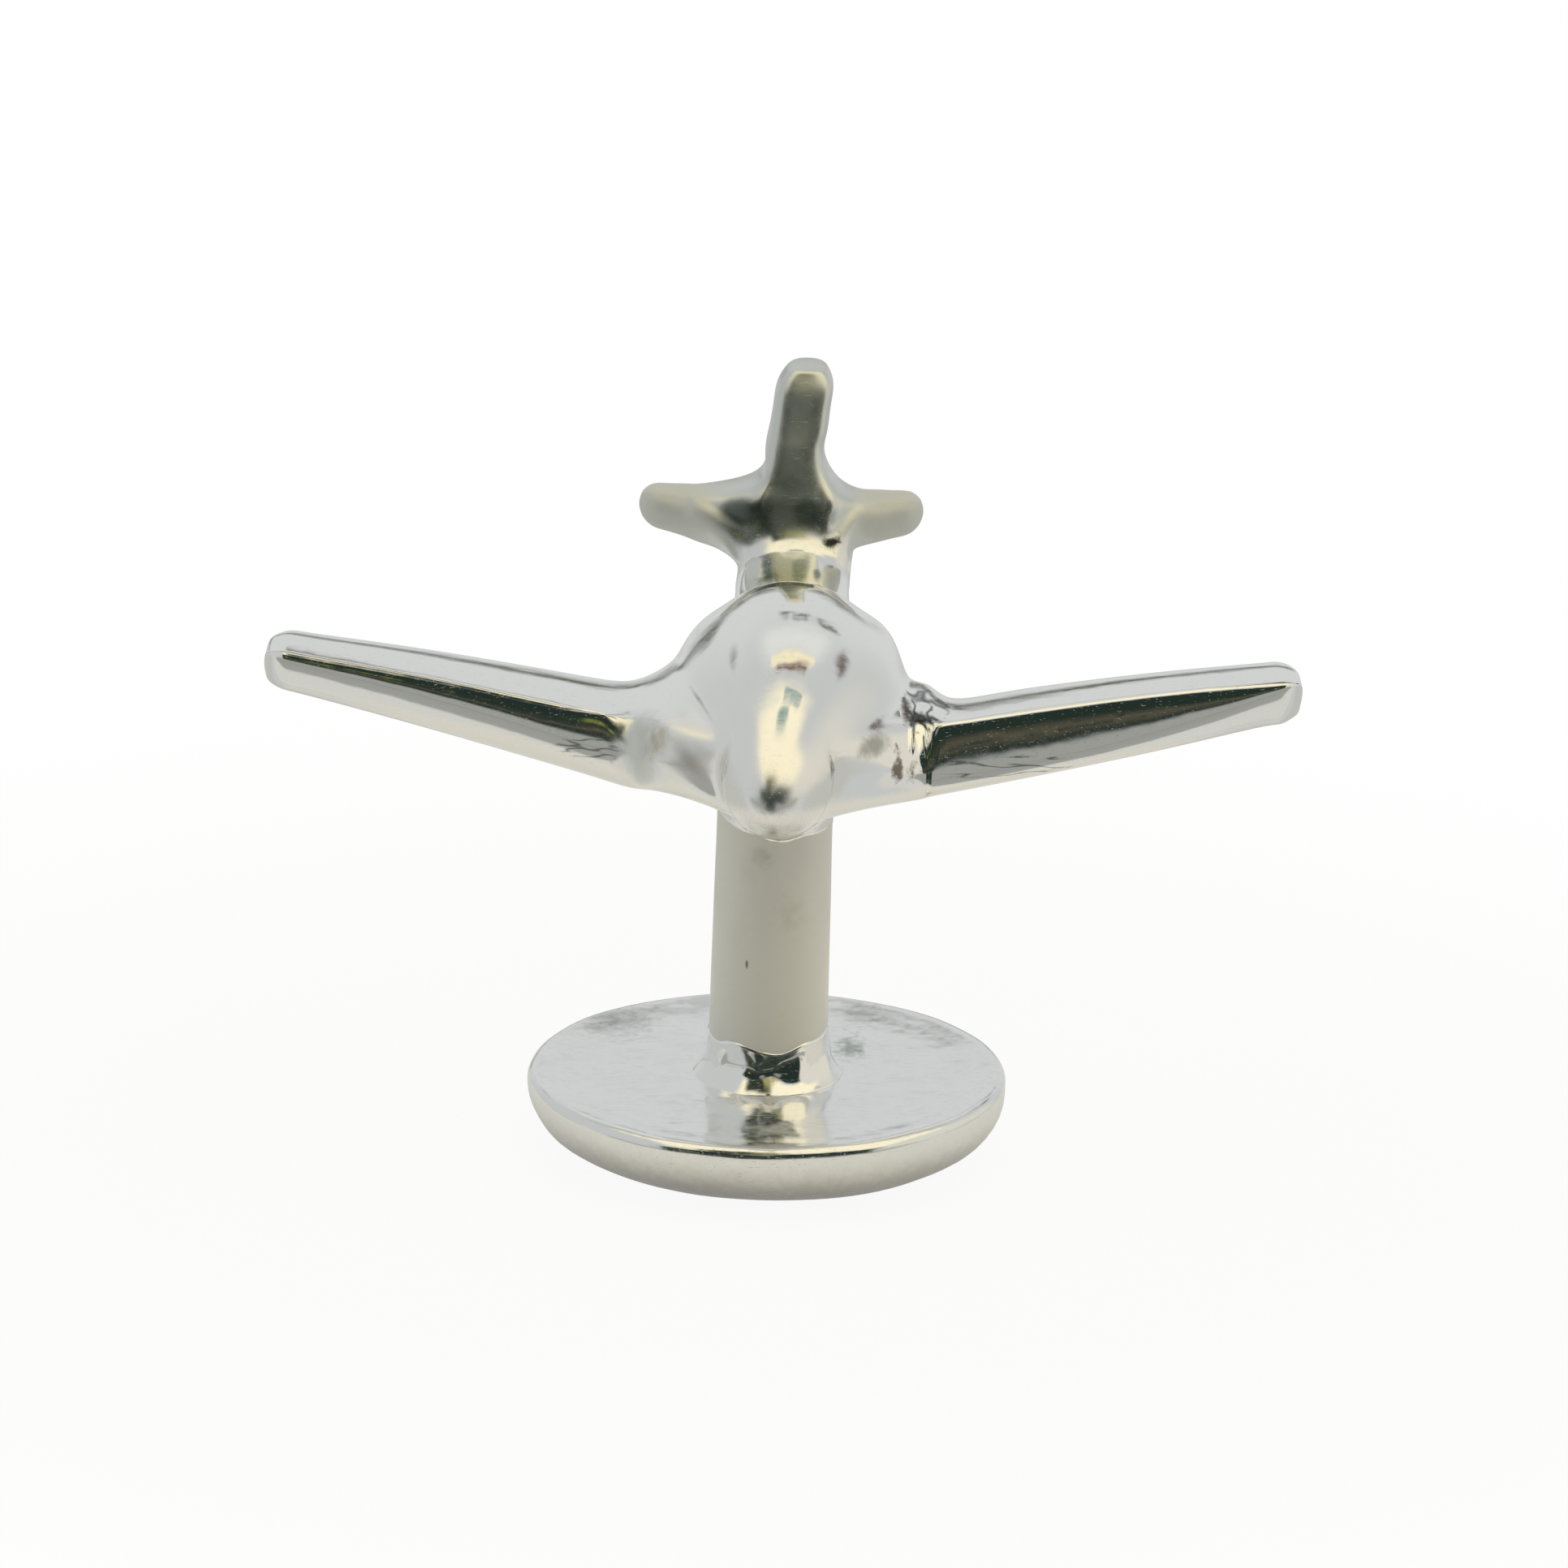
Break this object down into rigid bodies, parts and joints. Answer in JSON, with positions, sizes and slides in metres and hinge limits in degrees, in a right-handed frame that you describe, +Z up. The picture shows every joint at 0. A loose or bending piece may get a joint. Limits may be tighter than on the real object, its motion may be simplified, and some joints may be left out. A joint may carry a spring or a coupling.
{
  "type": "fixed back cufflink",
  "caption": "Polished silver aeroplane on a short round post with a round button back, made to be passed through the buttonholes of a shirt cuff.",
  "frame": {"origin": "centre of the button's flat underside, which is the face that the cufflink stands on", "axes": "+Z up along the post from the button to the aeroplane, +X towards the port wing tip, and -Y towards the nose"},
  "size_m": [0.0257, 0.0205, 0.0173],
  "materials": {
    "polished_silver": "polished",
    "silver_solder": "gloss",
    "post_silver": "satin",
    "button_silver": "gloss"
  },
  "bodies": {
    "root": {"fuselage_casting": "polished_silver", "port_wing": "polished_silver", "port_wing_solder": "silver_solder", "starboard_wing": "polished_silver", "starboard_wing_solder": "silver_solder", "post": "post_silver", "belly_solder_fillet": "silver_solder", "foot_solder_fillet": "silver_solder", "button": "button_silver"}
  },
  "joints": []
}
